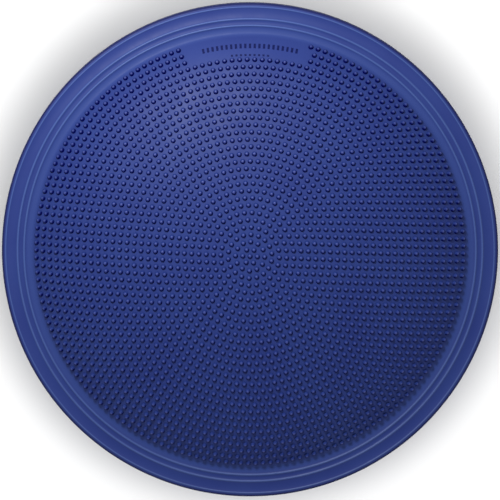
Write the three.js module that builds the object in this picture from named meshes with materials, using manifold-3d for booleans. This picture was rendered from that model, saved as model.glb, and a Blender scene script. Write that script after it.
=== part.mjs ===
// Balance dome trainer: an air-filled nubbed dome on a round rigid platform.
// Millimetres, +Z up, origin on the floor under the centre.

import * as THREE from 'three';
import { mergeVertices } from 'three/addons/utils/BufferGeometryUtils.js';
import Module from 'manifold-3d';

const wasm = await Module();
wasm.setup();

// Driving dimensions
const RIM_RADIUS = 300;
const FLANGE_TOP = 58;
const DOME_RISE = 56;
const DOME_EDGE_RADIUS = 262;
const DOME_EDGE_LIFT = 1.2;
const DOME_ROUND_SHARE = 0.72;
const DOME_SHOULDER_POWER = 8;
const SKIN = 3;
const GAP = 0.3;
const RING_STEPS = 48;
const SCREW_STEPS = 8;
const PAD_STEPS = 16;

// Rim of the dome skin: two raised beads, a rounded corner, a lip and a turned-in hem
const BEAD_RADII = [272.5, 280.4];
const BEAD_HALF_WIDTH = 2;
const BEAD_HEIGHT = 1.4;
const BAND_RADIUS = 265;
const CORNER = 3.5;
const CORNER_STEPS = 3;
const HEM_BOTTOM = 36;
const HEM_INNER_RADIUS = 290;
const HEM_CHAMFER = 2;

// Bladder floor and valve
const FLOOR_THICKNESS = 2.3;
const FLOOR_RADIUS = 274;
const STEM_RADIUS = 9;
const STEM_BOTTOM = 44;
const VALVE_BORE = 5;
const VALVE_FLANGE_RADIUS = 22;
const VALVE_FLANGE_THICKNESS = 2;
const PLUG_RADIUS = 4.6;
const PLUG_TIP_RADIUS = 3.2;
const PLUG_LENGTH = 12.5;
const PLUG_HEAD_RADIUS = 11;
const PLUG_HEAD_THICKNESS = 3.2;
const PULL_RADIUS = 6;
const PULL_WIRE = 1.5;

// Platform
const DECK_PLATE = 4;
const WALL = 3.2;
const RIB_BOTTOM = 38;
const RIB_RADII = [52, 150, 240];
const RADIAL_RIBS = 12;
const DECK_HOLE = 14;
const RING_THICKNESS = 3.1;
const RING_INNER_RADIUS = 274;
const RING_OUTER_RADIUS = 296;
const BASE_BOTTOM = 4.5;
const BASE_PLATE = 3.5;
const SKIRT_FOOT_RADIUS = 276.5;
const SKIRT_TOP_RADIUS = 292;
const SKIRT_WALL = 4.5;
const SKIRT_CHAMFER = 2.5;
const SKIRT_FLANGE_RADIUS = 262;
const SKIRT_FLANGE = 3;
const WELL_RADIUS = 42;
const WELL_FLANGE_RADIUS = 50;
const WELL_FLANGE = 2.5;

// Fasteners and feet
const RING_SCREWS = 12;
const RING_SCREW_CIRCLE = 279;
const RING_BOSS_RADIUS = 5;
const RING_SCREW_TOP = 44;
const BASE_SCREW_CIRCLE = 267;
const BASE_SCREW_ANGLES = [30, 60, 90, 120, 150, 210, 240, 270, 300, 330];
const BASE_SCREW_TOP = 24;
const BASE_BOSS_RADIUS = 5;
const COUNTERBORE_DEPTH = 2.4;
const COUNTERBORE_RADIUS = 5;
const SCREW_SHANK = 2;
const SCREW_HOLE = SCREW_SHANK + GAP + 0.1;
const SCREW_HEAD = 4.2;
const SCREW_HEAD_HEIGHT = 2;
const PADS = 8;
const PAD_CIRCLE = 252;
const PAD_RADIUS = 16;
const PAD_SEAT = 1.2;
const PAD_CHAMFER = 1;

// Hand recesses at the two sides
const GRIP_BACK = 238.3;
const GRIP_HALF_WIDTH = 62;
const GRIP_WALL = 3.7;

// Heights that follow from the driving dimensions
const SKIN_UNDERSIDE = FLANGE_TOP - SKIN;
const LIP_INNER_RADIUS = RIM_RADIUS - SKIN;
const HEM_TOP = HEM_BOTTOM + SKIN;
const FLOOR_TOP = SKIN_UNDERSIDE - GAP;
const FLOOR_BOTTOM = FLOOR_TOP - FLOOR_THICKNESS;
const DECK_SEAT = FLOOR_BOTTOM - GAP;
const DECK_UNDERSIDE = DECK_SEAT - DECK_PLATE;
const RING_TOP = HEM_BOTTOM - GAP;
const RING_BOTTOM = RING_TOP - RING_THICKNESS;
const SKIRT_TOP = RING_BOTTOM - GAP;
const FLANGE_BOTTOM = SKIRT_TOP - SKIRT_FLANGE;
const PLATE_RADIUS = SKIRT_FOOT_RADIUS - SKIRT_WALL - GAP;
const QUARTER_TURN = Math.PI / 2;
const FULL_TURN = Math.PI * 2;

// Solid helpers
function revolve(outline, steps = RING_STEPS) {
  const points = outline.map(([radius, height]) => new THREE.Vector2(radius, height));
  const geometry = new THREE.LatheGeometry(points, steps);
  geometry.rotateX(QUARTER_TURN);
  return geometry;
}

function closedRevolve(outline, steps = RING_STEPS) {
  return revolve([...outline, outline[0]], steps);
}

function post(radius, bottom, top, steps) {
  const geometry = new THREE.CylinderGeometry(radius, radius, top - bottom, steps);
  geometry.rotateX(QUARTER_TURN);
  geometry.translate(0, 0, (bottom + top) / 2);
  return geometry;
}

function block(low, high) {
  const size = high.map((value, axis) => value - low[axis]);
  const geometry = new THREE.BoxGeometry(...size);
  geometry.translate(...low.map((value, axis) => value + size[axis] / 2));
  return geometry;
}

function toSolid(geometry) {
  const bare = geometry.clone();
  bare.deleteAttribute('normal');
  bare.deleteAttribute('uv');
  const merged = mergeVertices(bare);
  const index = merged.index.array;
  const triangles = [];
  for (let i = 0; i < index.length; i += 3) {
    const [a, b, c] = [index[i], index[i + 1], index[i + 2]];
    if (a !== b && b !== c && c !== a) triangles.push(a, b, c);
  }
  return new wasm.Manifold(new wasm.Mesh({
    numProp: 3,
    vertProperties: new Float32Array(merged.attributes.position.array),
    triVerts: new Uint32Array(triangles),
  }));
}

function toGeometry(solid) {
  const mesh = solid.getMesh();
  const geometry = new THREE.BufferGeometry();
  geometry.setAttribute('position', new THREE.BufferAttribute(mesh.vertProperties, 3));
  geometry.setIndex(new THREE.BufferAttribute(mesh.triVerts, 1));
  geometry.computeVertexNormals();
  return geometry;
}

function evenAngles(count, start = 0) {
  return Array.from({ length: count }, (_, i) => start + (i * FULL_TURN) / count);
}

function around(geometry, circle, angles) {
  return angles.map((angle) => {
    const copy = geometry.clone();
    copy.translate(circle, 0, 0);
    copy.rotateZ(angle);
    return toSolid(copy);
  });
}

const joined = (solid, extras) => extras.reduce((whole, extra) => whole.add(extra), solid);
const cut = (solid, tools) => tools.reduce((whole, tool) => whole.subtract(tool), solid);

const RING_SCREW_ANGLES = evenAngles(RING_SCREWS, Math.PI / RING_SCREWS);
const PAD_ANGLES = evenAngles(PADS, Math.PI / PADS);
const baseScrewAngles = () => BASE_SCREW_ANGLES.map(THREE.MathUtils.degToRad);

// Finishes
const pvc = () => new THREE.MeshStandardMaterial({ color: 0x3a488c, roughness: 0.5, metalness: 0 });
const deckPlastic = () => new THREE.MeshStandardMaterial({ color: 0x2a2d36, roughness: 0.6, metalness: 0 });
const basePlastic = () => new THREE.MeshStandardMaterial({ color: 0x22304f, roughness: 0.55, metalness: 0 });
const rubber = () => new THREE.MeshStandardMaterial({ color: 0x1b1c1f, roughness: 0.85, metalness: 0 });
const plugPlastic = () => new THREE.MeshStandardMaterial({ color: 0xc9ccd2, roughness: 0.45, metalness: 0 });
const steel = () => new THREE.MeshStandardMaterial({ color: 0xa9acb1, roughness: 0.35, metalness: 1 });

// Dome skin
function domePoint(share, depth) {
  const fall = FLANGE_TOP + DOME_RISE - (FLANGE_TOP + DOME_EDGE_LIFT);
  const round = DOME_ROUND_SHARE * share ** 2;
  const shoulder = (1 - DOME_ROUND_SHARE) * share ** DOME_SHOULDER_POWER;
  const height = FLANGE_TOP + DOME_RISE - fall * (round + shoulder);
  const steepness = 2 * round + DOME_SHOULDER_POWER * shoulder;
  const slope = share > 0 ? (fall * steepness) / (share * DOME_EDGE_RADIUS) : 0;
  const length = Math.hypot(1, slope);
  return [share * DOME_EDGE_RADIUS - (depth * slope) / length, height - depth / length];
}

function beadOutline(radius) {
  return [
    [radius + BEAD_HALF_WIDTH, FLANGE_TOP],
    [radius, FLANGE_TOP + BEAD_HEIGHT],
    [radius - BEAD_HALF_WIDTH, FLANGE_TOP],
  ];
}

function cornerOutline() {
  const points = [];
  for (let i = 0; i <= CORNER_STEPS; i += 1) {
    const turn = (i * QUARTER_TURN) / CORNER_STEPS;
    const radius = RIM_RADIUS - CORNER + CORNER * Math.cos(turn);
    points.push([radius, FLANGE_TOP - CORNER + CORNER * Math.sin(turn)]);
  }
  return points;
}

function domeSkin() {
  const shares = [0, 0.2, 0.4, 0.56, 0.7, 0.81, 0.89, 0.95, 1];
  const inside = shares.map((share) => domePoint(share, SKIN));
  const outside = shares.map((share) => domePoint(share, 0)).reverse();
  return revolve([
    ...inside,
    [DOME_EDGE_RADIUS, SKIN_UNDERSIDE],
    [LIP_INNER_RADIUS, SKIN_UNDERSIDE],
    [LIP_INNER_RADIUS, HEM_TOP],
    [HEM_INNER_RADIUS, HEM_TOP],
    [HEM_INNER_RADIUS, HEM_BOTTOM],
    [RIM_RADIUS - HEM_CHAMFER, HEM_BOTTOM],
    [RIM_RADIUS, HEM_BOTTOM + HEM_CHAMFER],
    ...cornerOutline(),
    ...beadOutline(BEAD_RADII[1]),
    ...beadOutline(BEAD_RADII[0]),
    [BAND_RADIUS, FLANGE_TOP],
    ...outside,
  ]);
}

// Bladder floor and valve
function domeFloor() {
  const hole = STEM_RADIUS + 2 * GAP;
  return closedRevolve([
    [hole, FLOOR_BOTTOM],
    [FLOOR_RADIUS, FLOOR_BOTTOM],
    [FLOOR_RADIUS, FLOOR_TOP],
    [hole, FLOOR_TOP],
  ]);
}

function valveBody() {
  const flangeBottom = FLOOR_TOP + GAP;
  const flangeTop = flangeBottom + VALVE_FLANGE_THICKNESS;
  return closedRevolve([
    [VALVE_BORE, STEM_BOTTOM],
    [STEM_RADIUS, STEM_BOTTOM],
    [STEM_RADIUS, flangeBottom],
    [VALVE_FLANGE_RADIUS, flangeBottom],
    [VALVE_FLANGE_RADIUS, flangeTop],
    [VALVE_BORE, flangeTop],
  ], PAD_STEPS);
}

function valvePlug() {
  const headTop = STEM_BOTTOM - GAP;
  const headBottom = headTop - PLUG_HEAD_THICKNESS;
  const tip = headTop + PLUG_LENGTH;
  const plug = revolve([
    [0, headBottom],
    [PLUG_HEAD_RADIUS - PAD_CHAMFER, headBottom],
    [PLUG_HEAD_RADIUS, headBottom + PAD_CHAMFER],
    [PLUG_HEAD_RADIUS, headTop],
    [PLUG_RADIUS, headTop],
    [PLUG_RADIUS, tip - PULL_WIRE],
    [PLUG_TIP_RADIUS, tip],
    [0, tip],
  ], PAD_STEPS);
  const pull = new THREE.TorusGeometry(PULL_RADIUS, PULL_WIRE, SCREW_STEPS, PAD_STEPS);
  pull.rotateX(QUARTER_TURN);
  pull.translate(0, 0, headBottom - PULL_RADIUS / 2);
  return toGeometry(toSolid(plug).add(toSolid(pull)));
}

// Platform
function platformDeck() {
  const rings = RIB_RADII.flatMap((radius) => [
    [radius, DECK_UNDERSIDE],
    [radius, RIB_BOTTOM],
    [radius + WALL, RIB_BOTTOM],
    [radius + WALL, DECK_UNDERSIDE],
  ]);
  const deckRadius = LIP_INNER_RADIUS - GAP;
  const innerSkirt = HEM_INNER_RADIUS - GAP;
  const plate = closedRevolve([
    [DECK_HOLE, DECK_UNDERSIDE],
    ...rings,
    [innerSkirt - WALL, DECK_UNDERSIDE],
    [innerSkirt - WALL, HEM_BOTTOM],
    [innerSkirt, HEM_BOTTOM],
    [innerSkirt, DECK_UNDERSIDE],
    [deckRadius - WALL, DECK_UNDERSIDE],
    [deckRadius - WALL, HEM_TOP + GAP],
    [deckRadius, HEM_TOP + GAP],
    [deckRadius, SKIN_UNDERSIDE - GAP],
    [FLOOR_RADIUS + 2 * GAP, SKIN_UNDERSIDE - GAP],
    [FLOOR_RADIUS + 2 * GAP, DECK_SEAT],
    [DECK_HOLE, DECK_SEAT],
  ]);
  const rib = block(
    [RIB_RADII[0] + WALL / 2 - RING_SCREW_CIRCLE, -WALL / 2, RIB_BOTTOM + GAP],
    [innerSkirt - WALL / 2 - RING_SCREW_CIRCLE, WALL / 2, DECK_UNDERSIDE + WALL / 2],
  );
  const boss = post(RING_BOSS_RADIUS, HEM_BOTTOM, DECK_UNDERSIDE + 1, SCREW_STEPS);
  const pilot = post(SCREW_HOLE, HEM_BOTTOM - 1, RING_SCREW_TOP + 1, SCREW_STEPS);
  const deck = joined(toSolid(plate), [
    ...around(rib, RING_SCREW_CIRCLE, evenAngles(RADIAL_RIBS)),
    ...around(boss, RING_SCREW_CIRCLE, RING_SCREW_ANGLES),
  ]);
  return toGeometry(cut(deck, around(pilot, RING_SCREW_CIRCLE, RING_SCREW_ANGLES)));
}

function clampRing() {
  const ring = closedRevolve([
    [RING_INNER_RADIUS, RING_BOTTOM],
    [RING_OUTER_RADIUS, RING_BOTTOM],
    [RING_OUTER_RADIUS, RING_TOP],
    [RING_INNER_RADIUS, RING_TOP],
  ]);
  const hole = post(SCREW_HOLE, RING_BOTTOM - 1, RING_TOP + 1, SCREW_STEPS);
  return toGeometry(cut(toSolid(ring), around(hole, RING_SCREW_CIRCLE, RING_SCREW_ANGLES)));
}

function sideSkirt() {
  const wallFoot = SKIRT_FOOT_RADIUS - SKIRT_WALL;
  const ring = closedRevolve([
    [wallFoot, BASE_BOTTOM],
    [SKIRT_FOOT_RADIUS - SKIRT_CHAMFER, BASE_BOTTOM],
    [SKIRT_FOOT_RADIUS, BASE_BOTTOM + SKIRT_CHAMFER],
    [SKIRT_TOP_RADIUS, SKIRT_TOP],
    [SKIRT_FLANGE_RADIUS, SKIRT_TOP],
    [SKIRT_FLANGE_RADIUS, FLANGE_BOTTOM],
    [SKIRT_TOP_RADIUS - SKIRT_WALL - 1, FLANGE_BOTTOM],
    [wallFoot, BASE_BOTTOM + BASE_PLATE],
  ]);
  const half = block([-RIM_RADIUS, GRIP_HALF_WIDTH + GAP, 0], [RIM_RADIUS, RIM_RADIUS, RING_TOP]);
  const bossBottom = BASE_BOTTOM + BASE_PLATE + GAP;
  const boss = post(BASE_BOSS_RADIUS, bossBottom, FLANGE_BOTTOM + 1, SCREW_STEPS);
  const pilot = post(SCREW_HOLE, bossBottom - 1, BASE_SCREW_TOP + 1, SCREW_STEPS);
  const hole = post(SCREW_HOLE, FLANGE_BOTTOM - 1, SKIRT_TOP + 1, SCREW_STEPS);
  const screwsOnThisSide = baseScrewAngles().filter((angle) => angle < Math.PI);
  const skirt = joined(
    toSolid(ring).intersect(toSolid(half)),
    around(boss, BASE_SCREW_CIRCLE, screwsOnThisSide),
  );
  return toGeometry(cut(skirt, [
    ...around(pilot, BASE_SCREW_CIRCLE, screwsOnThisSide),
    ...around(hole, RING_SCREW_CIRCLE, RING_SCREW_ANGLES),
  ]));
}

function basePlate() {
  const inner = WELL_RADIUS + WALL + GAP;
  const top = BASE_BOTTOM + BASE_PLATE;
  const plate = closedRevolve([
    [inner, BASE_BOTTOM],
    [PLATE_RADIUS, BASE_BOTTOM],
    [PLATE_RADIUS, top],
    [inner, top],
  ]);
  const side = GRIP_HALF_WIDTH + GAP;
  const notch = block([GRIP_BACK - GAP, -side, 0], [RIM_RADIUS, side, SKIRT_TOP]);
  const counterbore = post(COUNTERBORE_RADIUS, 0, BASE_BOTTOM + COUNTERBORE_DEPTH, SCREW_STEPS);
  const hole = post(SCREW_HOLE, 0, top + 1, SCREW_STEPS);
  const seat = post(PAD_RADIUS + GAP, 0, BASE_BOTTOM + PAD_SEAT, PAD_STEPS);
  return toGeometry(cut(toSolid(plate), [
    ...around(notch, 0, evenAngles(2)),
    ...around(counterbore, BASE_SCREW_CIRCLE, baseScrewAngles()),
    ...around(hole, BASE_SCREW_CIRCLE, baseScrewAngles()),
    ...around(seat, PAD_CIRCLE, PAD_ANGLES),
  ]));
}

function valveWell() {
  const top = DECK_UNDERSIDE - GAP;
  return closedRevolve([
    [WELL_RADIUS, BASE_BOTTOM],
    [WELL_RADIUS + WALL, BASE_BOTTOM],
    [WELL_RADIUS + WALL, top - WELL_FLANGE],
    [WELL_FLANGE_RADIUS, top - WELL_FLANGE],
    [WELL_FLANGE_RADIUS, top],
    [WELL_RADIUS, top],
  ]);
}

function gripCup() {
  const envelope = revolve([
    [0, BASE_BOTTOM],
    [SKIRT_FOOT_RADIUS - SKIRT_CHAMFER, BASE_BOTTOM],
    [SKIRT_FOOT_RADIUS, BASE_BOTTOM + SKIRT_CHAMFER],
    [SKIRT_TOP_RADIUS, SKIRT_TOP],
    [0, SKIRT_TOP],
  ]);
  const outer = block(
    [GRIP_BACK, -GRIP_HALF_WIDTH, BASE_BOTTOM],
    [RIM_RADIUS, GRIP_HALF_WIDTH, SKIRT_TOP],
  );
  const inner = block(
    [GRIP_BACK + GRIP_WALL, GRIP_WALL - GRIP_HALF_WIDTH, 0],
    [RIM_RADIUS, GRIP_HALF_WIDTH - GRIP_WALL, SKIRT_TOP - GRIP_WALL],
  );
  return toGeometry(toSolid(outer).intersect(toSolid(envelope)).subtract(toSolid(inner)));
}

// Fasteners and feet
function screw(headTop, tip) {
  const headBottom = headTop - SCREW_HEAD_HEIGHT;
  return revolve([
    [0, headBottom],
    [SCREW_HEAD - PAD_CHAMFER, headBottom],
    [SCREW_HEAD, headBottom + PAD_CHAMFER],
    [SCREW_HEAD, headTop],
    [SCREW_SHANK, headTop],
    [SCREW_SHANK, tip - PAD_CHAMFER],
    [0, tip],
  ], SCREW_STEPS);
}

function footPad() {
  const top = BASE_BOTTOM + PAD_SEAT - GAP;
  return revolve([
    [0, 0],
    [PAD_RADIUS - PAD_CHAMFER, 0],
    [PAD_RADIUS, PAD_CHAMFER],
    [PAD_RADIUS, top],
    [0, top],
  ], PAD_STEPS);
}

// Assembly
const trainer = new THREE.Group();

function place(name, geometry, material) {
  const mesh = new THREE.Mesh(geometry, material);
  mesh.name = name;
  trainer.add(mesh);
  return mesh;
}

function placeAround(prefix, makeGeometry, makeMaterial, circle, angles) {
  angles.forEach((angle, i) => {
    const number = String(i + 1).padStart(2, '0');
    const mesh = place(`${prefix}_${number}`, makeGeometry(), makeMaterial());
    mesh.position.set(circle * Math.cos(angle), circle * Math.sin(angle), 0);
    mesh.rotation.z = angle;
  });
}

place('dome_skin', domeSkin(), pvc());
place('dome_floor', domeFloor(), pvc());
place('valve_body', valveBody(), pvc());
place('valve_plug', valvePlug(), plugPlastic());
place('platform_deck', platformDeck(), deckPlastic());
place('clamp_ring', clampRing(), deckPlastic());
place('side_skirt_back', sideSkirt(), basePlastic());
place('side_skirt_front', sideSkirt(), basePlastic()).rotation.z = Math.PI;
place('base_plate', basePlate(), basePlastic());
place('valve_well', valveWell(), basePlastic());
place('grip_right', gripCup(), rubber());
place('grip_left', gripCup(), rubber()).rotation.z = Math.PI;

placeAround('ring_screw', () => screw(FLANGE_BOTTOM - GAP, RING_SCREW_TOP), steel,
  RING_SCREW_CIRCLE, RING_SCREW_ANGLES);
placeAround('base_screw', () => screw(BASE_BOTTOM + COUNTERBORE_DEPTH - GAP, BASE_SCREW_TOP), steel,
  BASE_SCREW_CIRCLE, baseScrewAngles());
placeAround('foot_pad', footPad, rubber, PAD_CIRCLE, PAD_ANGLES);

export default trainer;
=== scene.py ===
"""Balance dome trainer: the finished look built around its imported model, laid out as a Blender add-on."""

import math

import bmesh
import bpy
from bpy.props import FloatProperty, FloatVectorProperty, IntProperty, PointerProperty
from mathutils import Matrix, Vector


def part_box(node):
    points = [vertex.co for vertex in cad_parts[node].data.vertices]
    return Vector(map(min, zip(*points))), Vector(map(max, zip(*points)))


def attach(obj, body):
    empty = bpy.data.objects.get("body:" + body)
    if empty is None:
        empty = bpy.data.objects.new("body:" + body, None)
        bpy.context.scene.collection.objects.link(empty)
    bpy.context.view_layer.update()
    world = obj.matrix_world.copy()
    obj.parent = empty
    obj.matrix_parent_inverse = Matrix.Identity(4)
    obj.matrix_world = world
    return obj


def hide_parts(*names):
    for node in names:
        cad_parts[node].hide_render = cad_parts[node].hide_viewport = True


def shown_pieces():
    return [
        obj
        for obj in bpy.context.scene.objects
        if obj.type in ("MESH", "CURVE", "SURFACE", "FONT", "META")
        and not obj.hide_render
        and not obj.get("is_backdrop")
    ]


bl_info = {
    "name": "Balance Dome Trainer",
    "version": (1, 0, 0),
    "blender": (4, 5, 0),
    "location": "3D View > Sidebar > Trainer",
    "description": "Builds the nubbed air dome, its platform and its small parts on the packed frame",
    "category": "Object",
}

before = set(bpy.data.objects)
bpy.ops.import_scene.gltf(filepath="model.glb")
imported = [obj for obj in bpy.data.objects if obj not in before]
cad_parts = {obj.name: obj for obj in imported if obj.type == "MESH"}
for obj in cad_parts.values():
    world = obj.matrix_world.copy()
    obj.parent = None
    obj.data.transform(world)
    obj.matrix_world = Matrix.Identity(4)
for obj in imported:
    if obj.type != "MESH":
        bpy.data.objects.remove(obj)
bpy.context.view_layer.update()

FULL_TURN = 2 * math.pi
QUARTER_TURN = math.pi / 2
UP = Vector((0, 0, 1))
ORIGIN = Vector((0, 0, 0))
MERGE = 1e-6

SKIN_LOW, SKIN_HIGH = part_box("dome_skin")
PLATE_LOW, PLATE_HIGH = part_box("base_plate")
RING_LOW, RING_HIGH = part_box("clamp_ring")
WELL_LOW, WELL_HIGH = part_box("valve_well")
SEAT_LOW, SEAT_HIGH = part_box("valve_body")
PLUG_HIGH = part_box("valve_plug")[1]
SKIRT_LOW, SKIRT_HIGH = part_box("side_skirt_back")
GRIP_LOW, GRIP_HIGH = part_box("grip_right")
PAD_LOW, PAD_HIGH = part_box("foot_pad_01")
SCREW_LOW, SCREW_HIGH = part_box("base_screw_01")
PADS = sorted(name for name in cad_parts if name.startswith("foot_pad"))
BASE_SCREWS = sorted(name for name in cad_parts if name.startswith("base_screw"))
RIM_RADIUS = SKIN_HIGH.x
POLE_HEIGHT = SKIN_HIGH.z

WELL_LIP = 0.0048
SKIRT_GROOVES = (0.34, 0.64)
PLATE_GROOVES = (0.095, 0.150, 0.205)
HALF_TURNED_RING = 3
# LIT_SIDE and LEAN_SHADE steer the nubs' painted shade.
LIT_SIDE = Vector((-0.26, 0.97))
LEAN_SHADE = 1.1
SKIN_SHEEN = 0.07
CREST_SHEEN = 0.16
NUB_SHEEN = 0.02
TIP_SHEEN = 0.22
INK_SHEEN = 0.05
NUB_OUTLINE = ((0.0, -0.14), (1.04, -0.14), (0.99, 0.22), (0.87, 0.60), (0.56, 0.90), (0.0, 1.0))
NUB_SIDES = 10
SKIN_STEPS = 300

FLOOR_HALF_SIDE = 6
# FLOOR_SHIFT and FLOOR_FADE place the floor's painted shadow round the rim.
FLOOR_SHIFT = 0.010
FLOOR_FADE = 1.18
SKY_FROM = 0.2
SKY_TOP = 0.55
KEY_PLACE = Vector((-0.22, 0.56, 0.85))
KEY_SIZE = 0.32
UNDER_PLACE = Vector((0.10, -0.20, -1.00))
UNDER_SIZE = 0.60
AIM = Vector((0, 0.0011, POLE_HEIGHT - 0.0595))


def length(name, description, default):
    """A size in metres that a user may change."""
    return FloatProperty(name=name, description=description, default=default, unit="LENGTH", precision=5)


def bearing(name, description, degrees):
    """An angle that a user may change."""
    return FloatProperty(name=name, description=description, default=math.radians(degrees), unit="ROTATION")


def number(name, description, default):
    """A plain number that a user may change."""
    return FloatProperty(name=name, description=description, default=default)


def whole(name, description, default):
    """A whole number that a user may change."""
    return IntProperty(name=name, description=description, default=default)


def colour(name, description, default):
    """A linear colour that a user may change."""
    return FloatVectorProperty(
        name=name, description=description, default=default, size=3, subtype="COLOR", min=0, max=1
    )


class DomeSizes(bpy.types.PropertyGroup):
    rise: length("Dome rise", "Height of the pole above the flat flange", 0.056)
    edge_radius: length("Dome edge radius", "Radius where the dome meets the flat band", 0.262)
    edge_lift: length("Edge lift", "Height of the dome's edge above the flange", 0.0012)
    round_share: number("Round share", "Share of the fall that is parabolic", 0.72)
    shoulder_power: whole("Shoulder power", "How late the shoulder turns down", 8)
    skin: length("Skin", "Wall thickness of the moulded skin", 0.003)
    band_radius: length("Band radius", "Radius where the smooth band is flat", 0.2650)
    inner_bead: length("Inner bead", "Radius of the inner raised bead", 0.2730)
    outer_bead: length("Outer bead", "Radius of the outer raised bead", 0.2809)
    bead_half_width: length("Bead half width", "Half the width of a raised bead", 0.0019)
    bead_height: length("Bead height", "Height of a raised bead", 0.0010)
    lip_bead: length("Lip bead", "Radius of the fine bead at the rim's edge", 0.2952)
    lip_half_width: length("Lip bead half width", "Half the width of the lip's bead", 0.0013)
    lip_height: length("Lip bead height", "Height of the lip's bead", 0.0007)
    corner: length("Rim corner", "Radius of the rim's top corner", 0.0034)
    hem_depth: length("Hem depth", "How far the hem turns in under the lip", 0.010)
    hem_round: length("Hem rounding", "Radius of the hem's lower corner", 0.0014)


class NubSizes(bpy.types.PropertyGroup):
    rings: whole("Rings", "Rings of nubs round the central one", 30)
    step: whole("Nubs per ring step", "Each ring has this many more nubs", 6)
    inner_rings: whole("Inner rings", "Rings that make the inner field", 20)
    pitch: length("Ring pitch", "Distance between rings along the dome", 0.00875)
    spread: length("Ring spread", "Extra run of the last ring along the dome", 0.0032)
    spread_power: whole("Spread power", "How late the rings spread", 9)
    height: length("Nub height", "Height of a nub above the skin", 0.0032)
    radius: length("Nub radius", "Radius at a nub's foot", 0.0031)
    start: bearing("Start", "Angle of each ring's first nub", -2.5)
    gap_rings: whole("Gap rings", "Outer rings that leave the mark's gap", 3)
    gap_from: bearing("Gap from", "Where the gap starts", 73.7)
    gap_to: bearing("Gap to", "Where the gap ends", 107.9)


class MarkSizes(bpy.types.PropertyGroup):
    radius: length("Mark radius", "Radius of the upper row of ticks", 0.2490)
    lower_radius: length("Lower radius", "Radius of the lower row of dots", 0.2385)
    tick_pitch: bearing("Tick pitch", "Angle between ticks", 1.3)
    ticks: whole("Ticks", "Ticks in the upper row", 21)
    dots: whole("Dots", "Dots in the lower row", 9)
    tick_length: length("Tick length", "Length of a tick towards the pole", 0.0062)
    tick_width: length("Tick width", "Width of a tick", 0.0027)
    dot: length("Dot", "Side of a dot", 0.0025)
    proud: length("Mark height", "Height of the mark above the skin", 0.00015)
    root: length("Mark root", "Depth of the mark below the skin", 0.0006)


class PlatformSizes(bpy.types.PropertyGroup):
    foot_radius: length("Foot radius", "Radius of the skirt at its foot", 0.2765)
    wall: length("Skirt wall", "Thickness of the skirt's wall", 0.0045)
    flange: length("Skirt flange", "Thickness of the skirt's top flange", 0.0030)
    flange_radius: length("Flange radius", "Inner radius of the skirt's flange", 0.2620)
    chamfer: length("Skirt chamfer", "Rounding at the skirt's foot", 0.0025)
    groove: length("Groove depth", "Depth of the skirt's and base's grooves", 0.0008)
    groove_width: length("Groove width", "Width of the skirt's and base's grooves", 0.0030)
    boss: length("Boss radius", "Radius of a screw boss", 0.0050)
    counterbore: length("Counterbore depth", "Depth of the screw heads' counterbores", 0.0024)
    pad_seat: length("Pad seat depth", "Depth of the feet's seats", 0.0012)
    band_radius: length("Clamp ring radius", "Inner radius of the clamp ring", 0.2740)
    clearance: length("Clearance", "Gap between neighbouring parts", 0.0003)
    grip_wall: length("Grip wall", "Thickness of a grip's walls", 0.0037)
    grip_round: length("Grip rounding", "Rounding inside a grip", 0.0060)
    grip_ribs: whole("Grip ribs", "Finger ribs in each grip", 5)
    rib_height: length("Rib height", "Height of a finger rib", 0.0010)
    rib_half_width: length("Rib half width", "Half the width of a finger rib", 0.0016)
    rib_inset: length("Rib inset", "Distance of a finger rib's ends from the grip's walls", 0.0100)
    pad_grooves: whole("Pad grooves", "Rings of grooves under each foot", 3)
    pad_groove: length("Pad groove", "Depth and half width of a foot's grooves", 0.0008)
    pad_edge: length("Pad edge", "Rounding at a foot's lower edge", 0.0010)
    screw_head: length("Screw head", "Height of a screw's head", 0.0020)
    screw_edge: length("Screw edge", "Rounding of a screw's head", 0.0008)
    screw_shank: length("Screw shank", "Radius of a screw's shank", 0.0020)
    screw_tip: length("Screw tip", "Length of a screw's point", 0.0010)
    socket: length("Socket", "Radius over the corners of a screw's socket", 0.0021)


class ValveSizes(bpy.types.PropertyGroup):
    bore: length("Valve bore", "Radius of the valve's bore", 0.0050)
    stem: length("Valve stem", "Outer radius of the valve's stem", 0.0090)
    flange: length("Valve flange", "Thickness of the valve's flange", 0.0020)
    well_wall: length("Well wall", "Thickness of the well's wall", 0.0032)
    well_flange: length("Well flange", "Thickness of the well's top flange", 0.0025)
    head: length("Plug head", "Thickness of the plug's head", 0.0032)
    head_top: length("Plug head top", "Height of the top of the plug's head", 0.0437)
    head_edge: length("Plug edge", "Rounding of the plug's head", 0.0010)
    shank: length("Plug shank", "Radius of the plug's shank", 0.0046)
    ridge: length("Plug ridge", "Depth of the hollows between the shank's ridges", 0.0005)
    ridges: whole("Ridges", "Ridges on the plug's shank", 4)
    tip: length("Plug tip", "Length of the taper at the plug's tip", 0.0015)
    pull: length("Pull radius", "Radius of the plug's pull loop", 0.0060)
    wire: length("Pull wire", "Radius of the loop's wire", 0.0015)


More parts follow.
